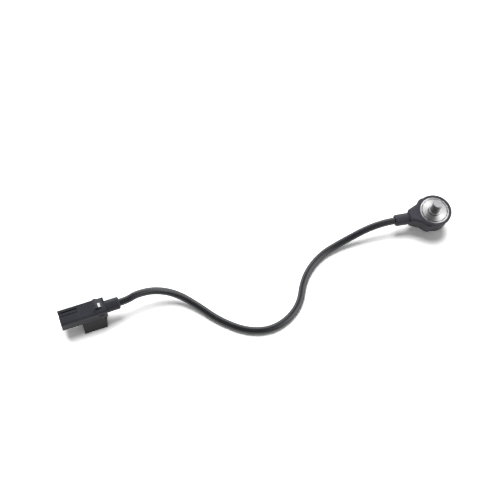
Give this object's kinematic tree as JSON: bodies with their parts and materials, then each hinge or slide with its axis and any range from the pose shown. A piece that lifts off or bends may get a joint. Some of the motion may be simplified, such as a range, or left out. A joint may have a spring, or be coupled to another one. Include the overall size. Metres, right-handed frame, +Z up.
{
  "type": "engine knock sensor",
  "caption": "Round moulded knock sensor with a flanged bolt through it, a steel contact disc, a black cable and a plug with a mounting clip.",
  "frame": {"origin": "on the floor under the middle of the sensor head's box, cable and plug left out", "axes": "+Z up along the bolt to its tip; -X is the way the cable leaves the head"},
  "size_m": [0.3329, 0.0874, 0.0342],
  "materials": {
    "housing_plastic": "moulded black, fine grain",
    "turned_steel": "turned bright, with fine rings",
    "seal_rubber": "matt",
    "insulator_film": "amber film",
    "contact_brass": "stamped",
    "piezo_ceramic": "fired, silvered faces",
    "mass_steel": "ground",
    "spring_steel": "plain",
    "bolt_steel": "zinc plated",
    "resistor_body": "lacquered",
    "cable_rubber": "satin black jacket",
    "shell_plastic": "moulded blue-black",
    "retainer_plastic": "moulded white",
    "terminal_tin": "tin plated",
    "wire_red": "insulation",
    "wire_grey": "insulation",
    "sleeve_rubber": "satin",
    "clip_plastic": "moulded black"
  },
  "bodies": {
    "root": {"housing": "housing_plastic", "mounting_sleeve": "turned_steel", "seal_ring": "seal_rubber", "insulating_tube": "insulator_film", "disc_insulator": "insulator_film", "disc_contact": "contact_brass", "piezo_ring": "piezo_ceramic", "mass_contact": "contact_brass", "mass_insulator": "insulator_film", "seismic_mass": "mass_steel", "disc_spring": "spring_steel", "ring_nut": "spring_steel", "flange_bolt": "bolt_steel", "ground_lead": "contact_brass", "signal_lead": "contact_brass", "shunt_resistor": "resistor_body", "cable_ferrule": "contact_brass", "cable": "cable_rubber", "connector_shell": "shell_plastic", "terminal_retainer": "retainer_plastic", "signal_terminal": "terminal_tin", "ground_terminal": "terminal_tin", "signal_wire": "wire_red", "ground_wire": "wire_grey", "signal_wire_seal": "seal_rubber", "ground_wire_seal": "seal_rubber", "rear_sleeve": "sleeve_rubber", "mounting_clip": "clip_plastic"}
  },
  "joints": []
}
